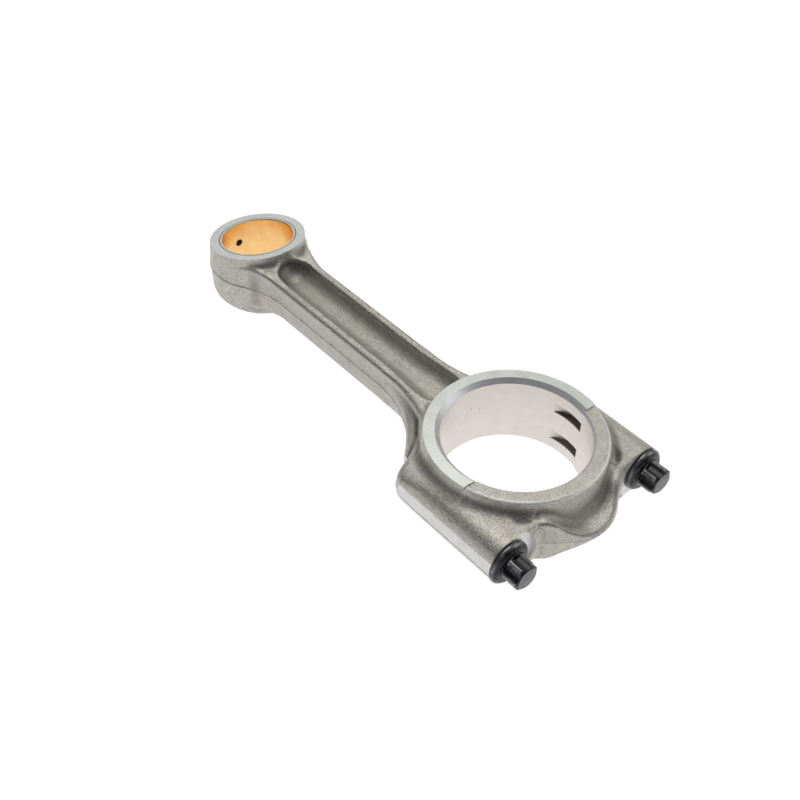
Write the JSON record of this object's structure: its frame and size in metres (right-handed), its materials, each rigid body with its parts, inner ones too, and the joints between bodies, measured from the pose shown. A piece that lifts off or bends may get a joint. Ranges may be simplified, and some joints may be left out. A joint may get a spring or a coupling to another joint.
{
  "type": "connecting rod",
  "caption": "Split connecting rod with an I-section shank, bolted bearing cap, tapered small end with a bronze-lined bush, and long six-lobe cap bolts.",
  "frame": {"origin": "centre of the big-end bore at mid width", "axes": "+X along the shank to the small end, +Y to the left cap bolt, +Z along the big-end bore"},
  "size_m": [0.2953, 0.1134, 0.04],
  "materials": {
    "forged_steel": "shot-blasted forging with ground and milled faces",
    "bush_bronze": "fine-bored bearing bronze on a steel back",
    "black_steel": "black oiled, semi-gloss"
  },
  "bodies": {
    "rod": {"rod_body": "forged_steel", "small_end_bush": "bush_bronze"},
    "cap": {"bearing_cap": "forged_steel"},
    "bolt_left": {"cap_bolt_left": "black_steel"},
    "bolt_right": {"cap_bolt_right": "black_steel"}
  },
  "joints": [
    {"name": "cap_lift", "type": "slide", "parent": "rod", "child": "cap", "axis": [-1, 0, 0], "range_m": [0, 0.08]},
    {"name": "bolt_left_draw", "type": "slide", "parent": "cap", "child": "bolt_left", "axis": [-1, 0, 0], "range_m": [0, 0.07]},
    {"name": "bolt_right_draw", "type": "slide", "parent": "cap", "child": "bolt_right", "axis": [-1, 0, 0], "range_m": [0, 0.07]}
  ]
}
